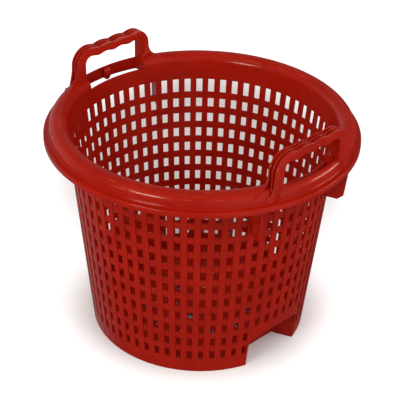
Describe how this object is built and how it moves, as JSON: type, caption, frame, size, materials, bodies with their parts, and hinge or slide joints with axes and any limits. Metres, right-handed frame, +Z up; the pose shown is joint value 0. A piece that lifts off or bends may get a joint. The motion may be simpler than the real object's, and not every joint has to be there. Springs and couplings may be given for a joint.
{
  "type": "fish basket",
  "caption": "Round tapered basket with a perforated lattice wall, rolled rim, upright grip handles and hand holds at the base, for carrying and draining fish.",
  "frame": {"origin": "centre of the foot ring on the ground", "axes": "+Z up along the basket's axis, handles on +X and -X, front towards -Y"},
  "size_m": [0.4884, 0.4884, 0.4133],
  "materials": {
    "red_polyethylene": "satin moulded polyethylene"
  },
  "bodies": {
    "root": {"floor": "red_polyethylene", "foot_band": "red_polyethylene", "gusset_left_front": "red_polyethylene", "gusset_left_rear": "red_polyethylene", "gusset_right_front": "red_polyethylene", "gusset_right_rear": "red_polyethylene", "hand_hold_left": "red_polyethylene", "hand_hold_right": "red_polyethylene", "handle_left": "red_polyethylene", "handle_right": "red_polyethylene", "hoop_01": "red_polyethylene", "hoop_02": "red_polyethylene", "hoop_03": "red_polyethylene", "hoop_04": "red_polyethylene", "hoop_05": "red_polyethylene", "hoop_06": "red_polyethylene", "hoop_07": "red_polyethylene", "hoop_08": "red_polyethylene", "hoop_09": "red_polyethylene", "hoop_10": "red_polyethylene", "neck_band": "red_polyethylene", "rim": "red_polyethylene", "slot_nub_left": "red_polyethylene", "slot_nub_right": "red_polyethylene", "staves_01": "red_polyethylene", "staves_02": "red_polyethylene", "staves_03": "red_polyethylene", "staves_04": "red_polyethylene", "staves_05": "red_polyethylene", "staves_06": "red_polyethylene", "staves_07": "red_polyethylene", "staves_08": "red_polyethylene"}
  },
  "joints": []
}
